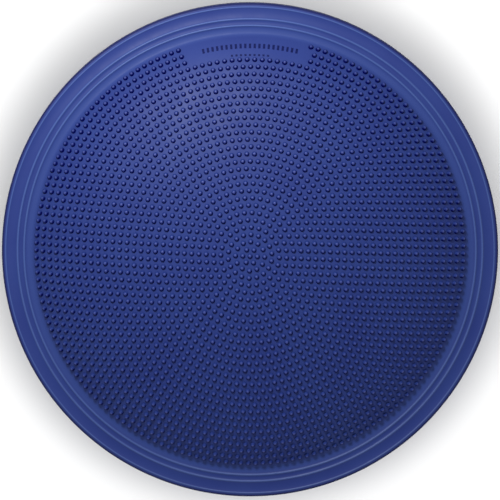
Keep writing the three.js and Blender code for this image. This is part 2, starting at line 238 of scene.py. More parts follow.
class TrainerColours(bpy.types.PropertyGroup):
    skin: colour("Skin", "Blue of the moulded skin", (0.0074, 0.0146, 0.070))
    skin_deep: colour("Skin, deep", "Blue in the skin's darker mottling", (0.0063, 0.0122, 0.065))
    # Painted highlight: the crest colour lightens the raised beads' crests; they are not paler through
    # scuffing.
    crest_highlight: colour("Crest", "Scuffed crests of the raised beads", (0.0135, 0.027, 0.096))
    # Painted light: the band colour lightens the smooth band where shade falls in the hollow at the dome's
    # edge.
    band: colour("Band", "Paler blue of the smooth band round the dome", (0.0092, 0.0180, 0.078))
    # Painted shade: the side colour darkens the rim's side.
    side: colour("Side", "Darker blue of the rim's side", (0.003, 0.005, 0.034))
    # Painted highlight: the nub tip colour lightens the nubs' tops; they are not paler through scuffing.
    tip: colour("Nub tip", "Scuffed tops of the nubs", (0.018, 0.027, 0.110))
    # Painted shade: the nub foot colour darkens the nubs from the foot upwards, most on the side away from
    # the light.
    foot: colour("Nub foot", "Blue at the foot of the nubs", (0.0001, 0.0004, 0.026))
    mark: colour("Mark", "Printed mark", (0.0003, 0.0016, 0.020))
    base: colour("Base", "Moulded platform base", (0.012, 0.020, 0.066))
    deck: colour("Deck", "Moulded deck and clamp ring", (0.030, 0.033, 0.045))
    rubber: colour("Rubber", "Grips and feet", (0.018, 0.019, 0.021))
    plug: colour("Plug", "Valve plug", (0.55, 0.56, 0.60))
    steel: colour("Steel", "Zinc plated screws", (0.55, 0.56, 0.58))
    floor: colour("Floor", "Studio floor", (0.90, 0.90, 0.90))
    # Painted shadow: the floor colour close to the rim.
    floor_painted_shadow: colour("Floor, near", "Studio floor close to the rim", (0.71, 0.71, 0.71))


class StudioSizes(bpy.types.PropertyGroup):
    distance: length("Camera distance", "From the rim's plane to the camera", 6.0)
    lens: number("Lens", "Focal length in millimetres", 357.3)
    tilt: bearing("Tilt", "Camera's lean towards the mark", 6.0)
    key_power: number("Key power", "Watts of the key light", 25.0)
    under_power: number("Under power", "Watts of the lamp from below", 12.0)
    world: number("World strength", "Brightness of the soft surround", 1.84)


# Meshes


def arc(centre, radius, start, end, steps):
    """Points of an arc in an outline's plane, from one angle to another, both ends included."""
    angles = [start + (end - start) * i / steps for i in range(steps + 1)]
    return [(centre[0] + radius * math.cos(a), centre[1] + radius * math.sin(a)) for a in angles]


def spin_outline(bm, outline, steps, closed=False):
    """Turns an outline of (radius, height) points round the upright axis into a surface."""
    verts = [bm.verts.new((radius, 0, height)) for radius, height in outline]
    pairs = list(zip(verts, verts[1:]))
    if closed:
        pairs.append((verts[-1], verts[0]))
    edges = [bm.edges.new(pair) for pair in pairs]
    bmesh.ops.spin(
        bm, geom=verts + edges, cent=ORIGIN, axis=UP, angle=FULL_TURN, steps=steps, use_merge=True
    )
    bmesh.ops.remove_doubles(bm, verts=bm.verts, dist=MERGE)
    bmesh.ops.recalc_face_normals(bm, faces=bm.faces)


def soften(bm, sharp_degrees=38):
    """Shades the faces smooth and keeps the corners sharper than the limit crisp."""
    limit = math.radians(sharp_degrees)
    for face in bm.faces:
        face.smooth = True
    for edge in bm.edges:
        edge.smooth = len(edge.link_faces) == 2 and edge.calc_face_angle(0) < limit


def piece(name, bm, material, body="trainer", replaces=()):
    """Makes a finished object of a bmesh: shaded, coloured, riding on its body."""
    mesh = bpy.data.meshes.new(name)
    bm.to_mesh(mesh)
    bm.free()
    mesh.materials.append(material)
    obj = bpy.data.objects.new(name, mesh)
    bpy.context.scene.collection.objects.link(obj)
    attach(obj, body)
    if replaces:
        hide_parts(*replaces)
    return obj


def rounded(outline, size, steps=3):
    """A closed outline with each of its corners rounded."""
    points = []
    for i, corner in enumerate(outline):
        here = Vector(corner)
        before = Vector(outline[i - 1]) - here
        after = Vector(outline[(i + 1) % len(outline)]) - here
        start = here + before.normalized() * min(size, before.length * 0.45)
        end = here + after.normalized() * min(size, after.length * 0.45)
        for k in range(steps + 1):
            t = k / steps
            point = (1 - t) ** 2 * start + 2 * (1 - t) * t * here + t**2 * end
            points.append((point.x, point.y))
    return points


def ring_of(outline, rounding, steps=200):
    """A solid ring turned from a closed outline with rounded corners."""
    bm = bmesh.new()
    spin_outline(bm, rounded(outline, rounding), steps, closed=True)
    return bm


def round_block(low, high, radius, segments=4):
    """A box with every edge rounded."""
    bm = bmesh.new()
    bmesh.ops.create_cube(bm, size=1)
    low, high = Vector(low), Vector(high)
    bmesh.ops.scale(bm, vec=high - low, verts=bm.verts)
    bmesh.ops.translate(bm, vec=(low + high) / 2, verts=bm.verts)
    if radius > 0:
        bmesh.ops.bevel(
            bm, geom=bm.edges[:], offset=radius, offset_type="OFFSET", segments=segments,
            profile=0.5, affect="EDGES", material=-1
        )
    return bm


def post(place, radius, bottom, top, steps):
    """An upright round post at a place on the plan."""
    bm = bmesh.new()
    bmesh.ops.create_cone(
        bm, cap_ends=True, segments=steps, radius1=radius, radius2=radius, depth=top - bottom
    )
    bmesh.ops.translate(bm, vec=(place.x, place.y, (bottom + top) / 2), verts=bm.verts)
    return bm


def take(target, source):
    """Moves one bmesh's geometry into another."""
    carrier = bpy.data.meshes.new("carrier")
    source.to_mesh(carrier)
    source.free()
    target.from_mesh(carrier)
    bpy.data.meshes.remove(carrier)


def turned(bm, angle):
    """The same bmesh, turned round the upright axis."""
    bmesh.ops.rotate(bm, cent=ORIGIN, matrix=Matrix.Rotation(angle, 3, "Z"), verts=bm.verts)
    return bm


def ring_copies(bm, angle, copies):
    """Repeats a bmesh round the upright axis, over an angle in all."""
    if copies > 1:
        bmesh.ops.spin(
            bm, geom=bm.verts[:] + bm.edges[:] + bm.faces[:], cent=ORIGIN, axis=UP,
            angle=angle, steps=copies - 1, use_duplicate=True
        )


def combined(first, second, operation):
    """Joins, cuts or meets two closed bmeshes and gives back what is left."""
    solids = []
    for bm in (first, second):
        mesh = bpy.data.meshes.new("solid")
        bm.to_mesh(mesh)
        bm.free()
        solid = bpy.data.objects.new("solid", mesh)
        bpy.context.scene.collection.objects.link(solid)
        solids.append(solid)
    modifier = solids[0].modifiers.new("combine", "BOOLEAN")
    modifier.operation = operation
    modifier.solver = "EXACT"
    modifier.object = solids[1]
    bpy.context.view_layer.update()
    evaluated = solids[0].evaluated_get(bpy.context.evaluated_depsgraph_get())
    result = bmesh.new()
    result.from_mesh(evaluated.to_mesh())
    evaluated.to_mesh_clear()
    for solid in solids:
        mesh = solid.data
        bpy.data.objects.remove(solid)
        bpy.data.meshes.remove(mesh)
    bmesh.ops.remove_doubles(result, verts=result.verts, dist=MERGE)
    return result


def centre_of(name):
    """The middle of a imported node's box."""
    low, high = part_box(name)
    return (Vector(low) + Vector(high)) / 2


# The dome's surface


def dome_height(sizes, radius):
    """Height of the dome's outer surface at a radius inside its edge."""
    share = radius / sizes.edge_radius
    fall = sizes.rise - sizes.edge_lift
    shoulder = (1 - sizes.round_share) * share**sizes.shoulder_power
    return POLE_HEIGHT - fall * (sizes.round_share * share**2 + shoulder)


def dome_slope(sizes, radius):
    """How steeply the dome falls at a radius."""
    share = radius / sizes.edge_radius
    fall = sizes.rise - sizes.edge_lift
    power = sizes.shoulder_power
    shoulder = power * (1 - sizes.round_share) * share ** (power - 1)
    return fall / sizes.edge_radius * (2 * sizes.round_share * share + shoulder)


def radius_at(sizes, run):
    """The radius that lies a given run from the pole, measured along the dome."""
    steps = 240
    radius = 0.0
    for _ in range(steps):
        radius += run / steps / math.hypot(1, dome_slope(sizes, radius))
    return radius


def on_dome(bm, dome, radius):
    """Lays a bmesh made on the origin on the dome at a radius, square to its surface."""
    lean = Matrix.Rotation(math.atan(dome_slope(dome, radius)), 4, "Y")
    bmesh.ops.transform(bm, matrix=lean, verts=bm.verts)
    bmesh.ops.translate(bm, vec=(radius, 0, dome_height(dome, radius)), verts=bm.verts)


def bead(radius, level, half_width, height):
    """Outline of one raised bead, from its outer foot to its inner one."""
    steps = 10
    points = []
    for i in range(steps + 1):
        across = 1 - 2 * i / steps
        rise = height * math.cos(across * QUARTER_TURN) ** 1.4
        points.append((radius + half_width * across, level + rise))
    return points


# Materials


def shader(name, base, roughness):
    """A new material whose Principled shader has plain starting values."""
    material = bpy.data.materials.new(name)
    material.use_nodes = True
    principled = material.node_tree.nodes["Principled BSDF"]
    principled.inputs["Base Color"].default_value = (*base, 1)
    principled.inputs["Roughness"].default_value = roughness
    return material, material.node_tree, principled


def feed(tree, socket, value):
    """Links a socket to another one, or gives it a value."""
    if isinstance(value, bpy.types.NodeSocket):
        tree.links.new(value, socket)
    else:
        socket.default_value = value


def calc(tree, operation, *values):
    """The result of a sum on values and sockets."""
    node = tree.nodes.new("ShaderNodeMath")
    node.operation = operation
    for socket, value in zip(node.inputs, values):
        feed(tree, socket, value)
    return node.outputs["Value"]


def remap(tree, value, start, end, low=0.0, high=1.0, smooth=False):
    """Maps one range of a socket's values to another, held at both ends."""
    node = tree.nodes.new("ShaderNodeMapRange")
    node.interpolation_type = "SMOOTHSTEP" if smooth else "LINEAR"
    for name, number in (("From Min", start), ("From Max", end), ("To Min", low), ("To Max", high)):
        node.inputs[name].default_value = number
    tree.links.new(value, node.inputs["Value"])
    return node.outputs["Result"]


def mix(tree, factor, first, second):
    """Mixes two colours, each a value or a socket, by a socket."""
    node = tree.nodes.new("ShaderNodeMix")
    node.data_type = "RGBA"
    tree.links.new(factor, node.inputs["Factor"])
    for name, value in (("A", first), ("B", second)):
        is_socket = isinstance(value, bpy.types.NodeSocket)
        feed(tree, node.inputs[name], value if is_socket else (*value, 1))
    return node.outputs["Result"]


def noise(tree, scale, detail=2.0, stretch=None):
    """A noise texture in the object's own place."""
    vector = tree.nodes.new("ShaderNodeTexCoord").outputs["Object"]
    if stretch:
        mapping = tree.nodes.new("ShaderNodeMapping")
        mapping.inputs["Scale"].default_value = stretch
        tree.links.new(vector, mapping.inputs["Vector"])
        vector = mapping.outputs["Vector"]
    texture = tree.nodes.new("ShaderNodeTexNoise")
    texture.inputs["Scale"].default_value = scale
    texture.inputs["Detail"].default_value = detail
    tree.links.new(vector, texture.inputs["Vector"])
    return texture.outputs["Fac"]


def spread(tree, source, low, high):
    """Maps a noise's middle range to a range of values."""
    return remap(tree, source, 0.3, 0.7, low, high)


def grain(tree, principled, strength, distance, *scales):
    """Fine relief, one layer for each scale."""
    normal = None
    for scale in scales:
        bump = tree.nodes.new("ShaderNodeBump")
        bump.inputs["Strength"].default_value = strength
        bump.inputs["Distance"].default_value = distance
        tree.links.new(noise(tree, scale, 3.0), bump.inputs["Height"])
        if normal:
            tree.links.new(normal, bump.inputs["Normal"])
        normal = bump.outputs["Normal"]
    tree.links.new(normal, principled.inputs["Normal"])


def from_axis(tree, back=0.0):
    """Distance of a surface point from the upright axis, or from one a little further back."""
    place = tree.nodes.new("ShaderNodeTexCoord")
    flat = tree.nodes.new("ShaderNodeVectorMath")
    flat.operation = "MULTIPLY_ADD"
    flat.inputs[1].default_value = (1, 1, 0)
    flat.inputs[2].default_value = (0, -back, 0)
    reach = tree.nodes.new("ShaderNodeVectorMath")
    reach.operation = "LENGTH"
    tree.links.new(place.outputs["Object"], flat.inputs[0])
    tree.links.new(flat.outputs["Vector"], reach.inputs[0])
    return reach.outputs["Value"]


def near_circle(tree, reach, radius, half_width):
    """One on a circle round the axis, falling to nothing at a half width away from it."""
    away = calc(tree, "ABSOLUTE", calc(tree, "SUBTRACT", reach, radius))
    return remap(tree, away, half_width, half_width * 0.25, smooth=True)


def attribute(tree, name):
    """A number kept on the mesh's points."""
    node = tree.nodes.new("ShaderNodeAttribute")
    node.attribute_name = name
    return node.outputs["Fac"]


def zones(tree, body, colours, sizes):
    """Paints shade on the rim's side, light on the smooth band and highlights on the beads' crests; gives
    the colour and the sheen.
    """
    reach = from_axis(tree)
    # Painted shade: the rim's side, beyond its top corner, is darkened by a mask on the radius.
    side = remap(tree, reach, RIM_RADIUS - sizes.corner, RIM_RADIUS - sizes.corner * 0.5, smooth=True)
    body = mix(tree, side, body, colours.side)
    # Painted light: the smooth band is made paler, lifting the shade in its hollow.
    body = mix(tree, near_circle(tree, reach, sizes.band_radius + 0.001, 0.007), body, colours.band)
    crests = 0.0
    for radius, half_width in (
        (sizes.inner_bead, sizes.bead_half_width),
        (sizes.outer_bead, sizes.bead_half_width),
        (sizes.lip_bead, sizes.lip_half_width),
    ):
        # Painted highlight: a thin circle along each bead's crest is lightened.
        crest_highlight = near_circle(tree, reach, radius, half_width)
        body = mix(tree, crest_highlight, body, colours.crest_highlight)
        crests = calc(tree, "MAXIMUM", crests, crest_highlight)
    return body, remap(tree, crests, 0, 1, SKIN_SHEEN, CREST_SHEEN)


def nub_zones(tree, body, colours):
    """Paints highlights on the nubs' tops and shade on their feet, darkest on the side away from the light;
    gives the colour and the sheen.
    """
    rise = attribute(tree, "rise")
    # Painted highlight: the nubs' tops are lightened.
    top = remap(tree, rise, 0.88, 1.0)
    body = mix(tree, top, body, colours.tip)
    # Painted shade: the nubs are darkened from the foot upwards, fully on the side away from the light and
    # hardly at all on the lit side.
    foot = remap(tree, rise, 0.70, 1.15, 1.0, 0.0)
    painted_far_side_shade = remap(tree, attribute(tree, "shade_side"), -0.36, 0.16, 0.05)
    body = mix(tree, calc(tree, "MULTIPLY", foot, painted_far_side_shade), body, colours.foot)
    return body, remap(tree, top, 0, 1, NUB_SHEEN, TIP_SHEEN)


def pvc(name, colours, nubs=False, sizes=None):
    """Soft moulded PVC: cloudy blue and satin, with fine grain, for the nubs, the dome or plain parts, with
    painted shade and highlights on the nubs and the dome.
    """
    material, tree, principled = shader(name, colours.skin, 0.42)
    body = mix(tree, spread(tree, noise(tree, 14.0, 4.0), 0.0, 1.0), colours.skin, colours.skin_deep)
    sheen = SKIN_SHEEN
    if sizes:
        body, sheen = zones(tree, body, colours, sizes)
    if nubs:
        body, sheen = nub_zones(tree, body, colours)
    feed(tree, principled.inputs["Base Color"], body)
    feed(tree, principled.inputs["Specular IOR Level"], sheen)
    feed(tree, principled.inputs["Roughness"], spread(tree, noise(tree, 60.0, 3.0), 0.46, 0.56))
    grain(tree, principled, 0.10, 0.0002, 300.0, 2600.0)
    return material


def moulded(name, base, roughness, grain_scale, strength):
    """Moulded plastic or rubber with an eroded texture and slight blotches."""
    material, tree, principled = shader(name, base, roughness)
    blotch = spread(tree, noise(tree, 22.0, 4.0), 0.0, 1.0)
    darker = tuple(c * 0.78 for c in base)
    feed(tree, principled.inputs["Base Color"], mix(tree, blotch, base, darker))
    rough = spread(tree, noise(tree, 90.0, 3.0), roughness - 0.06, roughness + 0.06)
    feed(tree, principled.inputs["Roughness"], rough)
    grain(tree, principled, strength, 0.0003, grain_scale)
    return material


def plated(name, base):
    """Zinc plated steel with fine turning marks."""
    material, tree, principled = shader(name, base, 0.3)
    principled.inputs["Metallic"].default_value = 1.0
    streak = noise(tree, 900.0, 3.0, stretch=(1, 1, 6))
    feed(tree, principled.inputs["Roughness"], spread(tree, streak, 0.24, 0.4))
    dulled = tuple(c * 0.8 for c in base)
    tint = spread(tree, noise(tree, 260.0, 2.0), 0.0, 1.0)
    feed(tree, principled.inputs["Base Color"], mix(tree, tint, base, dulled))
    grain(tree, principled, 0.08, 0.0001, 1800.0)
    return material


def printed(name, base):
    """Matt screen ink with slightly uneven cover."""
    material, tree, principled = shader(name, base, 0.55)
    cover = spread(tree, noise(tree, 700.0, 3.0), 0.0, 1.0)
    lighter = tuple(c * 1.5 for c in base)
    principled.inputs["Specular IOR Level"].default_value = INK_SHEEN
    feed(tree, principled.inputs["Base Color"], mix(tree, cover, base, lighter))
    grain(tree, principled, 0.06, 0.0001, 1500.0)
    return material


def named(name, make, *values, **options):
    """The material of that name, made the first time that it is asked for."""
    return bpy.data.materials.get(name) or make(name, *values, **options)


def base_plastic(colours):
    return named("base_plastic", moulded, colours.base, 0.5, 1400.0, 0.35)


def deck_plastic(colours):
    return named("deck_plastic", moulded, colours.deck, 0.55, 1100.0, 0.3)


def soft_rubber(colours):
    return named("soft_rubber", moulded, colours.rubber, 0.75, 2000.0, 0.25)


def plug_plastic(colours):
    return named("plug_plastic", moulded, colours.plug, 0.45, 1800.0, 0.12)


def screw_steel(colours):
    return named("screw_steel", plated, colours.steel)


def skin_pvc(colours):
    return named("skin_pvc", pvc, colours)


# Operators


class TRAINER_OT_dome_skin(bpy.types.Operator):
    """Build the moulded skin: dome, beads, flange, lip and turned-in hem"""

    bl_idname = "trainer.dome_skin"
    bl_label = "Dome Skin"

    def execute(self, context):
        sizes = context.scene.dome_sizes
        level = POLE_HEIGHT - sizes.rise
        under = level - sizes.skin
        lip_inner = RIM_RADIUS - sizes.skin
        hem_top = SKIN_LOW.z + sizes.skin
        edge = sizes.edge_radius
        steps = 84
        outside = [(edge * i / steps, dome_height(sizes, edge * i / steps)) for i in range(steps, -1, -1)]
        inside = []
        for i in range(0, steps + 1, 4):
            radius = edge * i / steps
            slope = dome_slope(sizes, radius)
            run = math.hypot(1, slope)
            height = dome_height(sizes, radius) - sizes.skin / run
            inside.append((radius - sizes.skin * slope / run, height))
        hem = sizes.hem_round
        outline = [
            *inside,
            (edge, under),
            (lip_inner, under),
            (lip_inner, hem_top),
            (RIM_RADIUS - sizes.hem_depth, hem_top),
            (RIM_RADIUS - sizes.hem_depth, SKIN_LOW.z),
            *arc((RIM_RADIUS - hem, SKIN_LOW.z + hem), hem, -QUARTER_TURN, 0, 5),
            *arc((RIM_RADIUS - sizes.corner, level - sizes.corner), sizes.corner, 0, QUARTER_TURN, 9),
            *bead(sizes.lip_bead, level, sizes.lip_half_width, sizes.lip_height),
            *bead(sizes.outer_bead, level, sizes.bead_half_width, sizes.bead_height),
            *bead(sizes.inner_bead, level, sizes.bead_half_width, sizes.bead_height),
            (sizes.band_radius, level),
            ((edge + sizes.band_radius) / 2, level + sizes.edge_lift * 0.25),
            *outside,
        ]
        bm = bmesh.new()
        spin_outline(bm, outline, SKIN_STEPS)
        soften(bm, 50)
        colours = context.scene.trainer_colours
        material = named("dome_pvc", pvc, colours, sizes=sizes)
        piece("dome_shell", bm, material, replaces=("dome_skin",))
        return {"FINISHED"}


def nub(sizes):
    """One round-topped nub on the origin, with its rise from foot to top in an attribute."""
    bm = bmesh.new()
    spin_outline(bm, [(r * sizes.radius, z * sizes.height) for r, z in NUB_OUTLINE], NUB_SIDES)
    layer = bm.verts.layers.float.new("rise")
    for vert in bm.verts:
        vert[layer] = max(0.0, vert.co.z / sizes.height)
    soften(bm, 80)
    return bm


def nub_ring(field, dome, sizes, ring):
    """Adds one ring of nubs, square to the dome, with an attribute that grows away from each nub's lit side
    for its painted shade.
    """
    run = sizes.pitch * ring + sizes.spread * (ring / sizes.rings) ** sizes.spread_power
    radius = radius_at(dome, run)
    count = max(1, sizes.step * ring)
    pitch = FULL_TURN / count
    start = sizes.start + (pitch / 2 if ring == HALF_TURNED_RING else 0)
    copies = count
    if ring > sizes.rings - sizes.gap_rings:
        first = math.floor((sizes.gap_to - start) / pitch) + 1
        last = math.ceil((sizes.gap_from - start) / pitch) - 1
        copies = count - (first - last - 1)
        start += first * pitch
    bm = nub(sizes)
    on_dome(bm, dome, radius)
    turned(bm, start)
    ring_copies(bm, pitch * (copies - 1), copies)
    # Painted shade: the attribute grows towards each nub's side away from the light, and with the dome's
    # slope.
    shade_side = bm.verts.layers.float.new("shade_side")
    lean = dome_slope(dome, radius) * LEAN_SHADE
    for vert in bm.verts:
        angle = start + round((math.atan2(vert.co.y, vert.co.x) - start) / pitch) * pitch
        middle = radius * Vector((math.cos(angle), math.sin(angle)))
        across = (middle - vert.co.xy) / sizes.radius
        vert[shade_side] = (across + middle.normalized() * lean).dot(LIT_SIDE)
    take(field, bm)


class TRAINER_OT_nubs(bpy.types.Operator):
    """Build the two fields of nubs on the dome, ring by ring"""

    bl_idname = "trainer.nubs"
    bl_label = "Nubs"

    def execute(self, context):
        sizes = context.scene.nub_sizes
        dome = context.scene.dome_sizes
        colours = context.scene.trainer_colours
        fields = (
            ("nubs_inner", range(0, sizes.inner_rings + 1)),
            ("nubs_outer", range(sizes.inner_rings + 1, sizes.rings + 1)),
        )
        for name, rings in fields:
            field = bmesh.new()
            for ring in rings:
                nub_ring(field, dome, sizes, ring)
            piece(name, field, named("nub_pvc", pvc, colours, True))
        return {"FINISHED"}


def mark_row(target, dome, sizes, radius, size, count):
    """Adds a row of small flat blocks along an arc in the gap of the nubs."""
    half_length, half_width = size[0] / 2, size[1] / 2
    pitch = sizes.tick_pitch
    bm = round_block((-half_length, -half_width, -sizes.root), (half_length, half_width, sizes.proud), 0)
    on_dome(bm, dome, radius)
    turned(bm, QUARTER_TURN - pitch * (count - 1) / 2)
    ring_copies(bm, pitch * (count - 1), count)
    take(target, bm)


class TRAINER_OT_mark(bpy.types.Operator):
    """Build the plain printed mark: a row of ticks above a row of dots"""

    bl_idname = "trainer.mark"
    bl_label = "Mark"

    def execute(self, context):
        sizes = context.scene.mark_sizes
        dome = context.scene.dome_sizes
        colours = context.scene.trainer_colours
        bm = bmesh.new()
        tick = (sizes.tick_length, sizes.tick_width)
        dot = (sizes.dot, sizes.dot)
        mark_row(bm, dome, sizes, sizes.radius, tick, sizes.ticks)
        mark_row(bm, dome, sizes, sizes.lower_radius, dot, sizes.dots)
        soften(bm)
        piece("centre_mark", bm, named("mark_ink", printed, colours.mark))
        return {"FINISHED"}


def skirt_outline(sizes):
    """Section of a side skirt: grooved sloping wall, rounded foot and inward flange."""
    foot = sizes.foot_radius
    inner = foot - sizes.wall
    low, high = SKIRT_LOW.z, SKIRT_HIGH.z
    base = Vector((foot, low + sizes.chamfer))
    crown = Vector((SKIRT_HIGH.y, high))
    along = (crown - base).normalized()
    into = Vector((-along.y, along.x))
    wall = []
    for share in SKIRT_GROOVES:
        middle = base.lerp(crown, share)
        wall += [
            middle - along * sizes.groove_width / 2,
            middle - along * sizes.groove_width / 4 + into * sizes.groove,
            middle + along * sizes.groove_width / 4 + into * sizes.groove,
            middle + along * sizes.groove_width / 2,
        ]
    under = high - sizes.flange
    return [
        (inner, low),
        (foot - sizes.chamfer, low),
        tuple(base),
        *[tuple(point) for point in wall],
        tuple(crown),
        (sizes.flange_radius, high),
        (sizes.flange_radius, under),
        (SKIRT_HIGH.y - sizes.wall - 0.001, under),
        (inner, PLATE_HIGH.z),
    ]


def skirt(sizes):
    """The back skirt: a turned section, cut square where the grips stand, with its screw bosses."""
    outline = rounded(skirt_outline(sizes), 0.0008, 2)
    start = math.asin(SKIRT_LOW.y / SKIRT_HIGH.y) * 0.9
    bm = bmesh.new()
    verts = [bm.verts.new((radius, 0, height)) for radius, height in outline]
    edges = [bm.edges.new(pair) for pair in zip(verts, verts[1:] + verts[:1])]
    turned(bm, start)
    bmesh.ops.spin(bm, geom=verts + edges, cent=ORIGIN, axis=UP, angle=math.pi - 2 * start, steps=130)
    bmesh.ops.bisect_plane(
        bm, geom=bm.verts[:] + bm.edges[:] + bm.faces[:], dist=MERGE,
        plane_co=(0, SKIRT_LOW.y, 0), plane_no=(0, 1, 0), clear_inner=True
    )
    bmesh.ops.holes_fill(bm, edges=[edge for edge in bm.edges if edge.is_boundary], sides=0)
    bmesh.ops.recalc_face_normals(bm, faces=bm.faces)
    for name in BASE_SCREWS:
        place = centre_of(name)
        if place.y > 0:
            bottom = PLATE_HIGH.z + sizes.clearance
            take(bm, post(place, sizes.boss, bottom, SKIRT_HIGH.z - sizes.flange / 2, 20))
    soften(bm)
    return bm


def base_plate(sizes):
    """The base plate with its grooves, grip notches, counterbores and pad seats."""
    inner = WELL_HIGH.x - WELL_LIP + sizes.clearance
    low, high = PLATE_LOW.z, PLATE_HIGH.z
    outline = [(inner, low)]
    for radius in PLATE_GROOVES:
        outline += [
            (radius - sizes.groove_width, low),
            (radius - sizes.groove_width / 2, low + sizes.groove),
            (radius + sizes.groove_width / 2, low + sizes.groove),
            (radius + sizes.groove_width, low),
        ]
    outline += [(PLATE_HIGH.y, low), (PLATE_HIGH.y, high), (inner, high)]
    plate = ring_of(outline, 0.0006, 240)
    tools = bmesh.new()
    reach = GRIP_LOW.x - sizes.clearance
    side = GRIP_HIGH.y + sizes.clearance
    for turn in (0, math.pi):
        notch = round_block((reach, -side, -0.01), (RIM_RADIUS + 0.01, side, 0.05), 0)
        take(tools, turned(notch, turn))
    for name in BASE_SCREWS:
        place = centre_of(name)
        take(tools, post(place, sizes.boss, -0.01, low + sizes.counterbore, 28))
    seat_radius = (PAD_HIGH.x - PAD_LOW.x) / 2 + sizes.clearance
    for name in PADS:
        take(tools, post(centre_of(name), seat_radius, -0.01, low + sizes.pad_seat, 56))
    plate = combined(plate, tools, "DIFFERENCE")
    soften(plate)
    return plate


def grip(sizes):
    """The right grip: a cup open outwards and down, following the skirt, ribbed for the fingers."""
    corner = SKIRT_LOW.z + sizes.chamfer
    envelope = bmesh.new()
    spin_outline(
        envelope,
        [
            (0, SKIRT_LOW.z),
            (sizes.foot_radius - sizes.chamfer, SKIRT_LOW.z),
            (sizes.foot_radius, corner),
            (SKIRT_HIGH.y, SKIRT_HIGH.z),
            (0, SKIRT_HIGH.z),
        ],
        SKIN_STEPS,
    )
    half = GRIP_HIGH.y
    outer = round_block((GRIP_LOW.x, -half, GRIP_LOW.z), (RIM_RADIUS + 0.02, half, GRIP_HIGH.z), 0)
    cup = combined(outer, envelope, "INTERSECT")
    wall = sizes.grip_wall
    ceiling = GRIP_HIGH.z - wall
    hollow = round_block(
        (GRIP_LOW.x + wall, wall - half, -0.02), (RIM_RADIUS + 0.04, half - wall, ceiling), sizes.grip_round
    )
    cup = combined(cup, hollow, "DIFFERENCE")
    first = GRIP_LOW.x + wall + sizes.grip_round + 0.003
    last = sizes.foot_radius
    for i in range(sizes.grip_ribs):
        x = first + (last - first) * i / (sizes.grip_ribs - 1)
        end = half - wall - sizes.rib_inset
        rib = round_block(
            (x - sizes.rib_half_width, -end, ceiling - sizes.rib_height),
            (x + sizes.rib_half_width, end, ceiling + 0.001), 0.0007, 2
        )
        take(cup, rib)
    soften(cup)
    return cup


def foot_pad(sizes):
    """A round foot with rings of grooves on its underside, made on the origin."""
    radius = (PAD_HIGH.x - PAD_LOW.x) / 2
    top = PAD_HIGH.z
    gap = radius / (sizes.pad_grooves + 1)
    groove = sizes.pad_groove
    outline = [(0, 0)]
    for i in range(1, sizes.pad_grooves + 1):
        outline += [
            (gap * i - groove, 0),
            (gap * i - groove * 0.625, groove),
            (gap * i + groove * 0.625, groove),
            (gap * i + groove, 0),
        ]
    edge = sizes.pad_edge
    outline += [*arc((radius - edge, edge), edge, -QUARTER_TURN, 0, 4), (radius, top), (0, top)]
    bm = bmesh.new()
    spin_outline(bm, outline, 56)
    soften(bm)
    return bm


def screw(sizes):
    """A pan-head screw seen from below, head down, with a six-sided socket, made on the origin."""
    bottom, tip = SCREW_LOW.z, SCREW_HIGH.z
    top = bottom + sizes.screw_head
    head = (SCREW_HIGH.x - SCREW_LOW.x) / 2
    shank = sizes.screw_shank
    edge = sizes.screw_edge
    outline = [
        (sizes.socket * 1.25, bottom),
        *arc((head - edge, bottom + edge), edge, -QUARTER_TURN, 0, 4),
        (head, top),
        (shank, top),
        (shank, tip - sizes.screw_tip),
        (0, tip),
    ]
    bm = bmesh.new()
    spin_outline(bm, outline, 24)
    rim = [e for e in bm.edges if e.is_boundary]
    made = bmesh.ops.create_circle(bm, segments=6, radius=sizes.socket)
    bmesh.ops.translate(bm, vec=(0, 0, bottom), verts=made["verts"])
    socket = [e for e in bm.edges if e.is_wire]
    bmesh.ops.bridge_loops(bm, edges=rim + socket)
    sunk = bmesh.ops.extrude_edge_only(bm, edges=socket)["geom"]
    floor_verts = [v for v in sunk if isinstance(v, bmesh.types.BMVert)]
    bmesh.ops.translate(bm, vec=(0, 0, sizes.screw_head * 0.7), verts=floor_verts)
    bmesh.ops.holes_fill(bm, edges=[e for e in bm.edges if e.is_boundary], sides=0)
    bmesh.ops.recalc_face_normals(bm, faces=bm.faces)
    soften(bm)
    return bm


class TRAINER_OT_platform(bpy.types.Operator):
    """Build the skirts, base plate, clamp ring, grips, feet and screws, and colour the hidden parts"""

    bl_idname = "trainer.platform"
    bl_label = "Platform"

    def execute(self, context):
        sizes = context.scene.platform_sizes
        colours = context.scene.trainer_colours
        base = base_plastic(colours)
        deck = deck_plastic(colours)
        rubber = soft_rubber(colours)
        steel = screw_steel(colours)
        piece("skirt_back", skirt(sizes), base, replaces=("side_skirt_back",))
        front = turned(skirt(sizes), math.pi)
        piece("skirt_front", front, base, replaces=("side_skirt_front",))
        piece("base_panel", base_plate(sizes), base, replaces=("base_plate",))
        inner, outer = sizes.band_radius, RING_HIGH.x
        low, high = RING_LOW.z, RING_HIGH.z
        band = ring_of([(inner, low), (outer, low), (outer, high), (inner, high)], 0.0007, SKIN_STEPS)
        soften(band)
        piece("clamp_band", band, deck, replaces=("clamp_ring",))
        piece("grip_cup_right", grip(sizes), rubber, replaces=("grip_right",))
        left = turned(grip(sizes), math.pi)
        piece("grip_cup_left", left, rubber, replaces=("grip_left",))
        for name in PADS:
            place = centre_of(name)
            pad = foot_pad(sizes)
            bmesh.ops.translate(pad, vec=(place.x, place.y, 0), verts=pad.verts)
            piece(name.replace("foot_pad", "foot"), pad, rubber, replaces=(name,))
        for name in BASE_SCREWS:
            place = centre_of(name)
            fixing = screw(sizes)
            bmesh.ops.translate(fixing, vec=(place.x, place.y, 0), verts=fixing.verts)
            piece(name.replace("base_screw", "fixing"), fixing, steel, replaces=(name,))
        hidden = {"platform_deck": deck, "dome_floor": skin_pvc(colours)}
        for name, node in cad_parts.items():
            material = hidden.get(name)
            if name.startswith("ring_screw"):
                material = steel
            if material:
                node.data.materials.clear()
                node.data.materials.append(material)
        return {"FINISHED"}


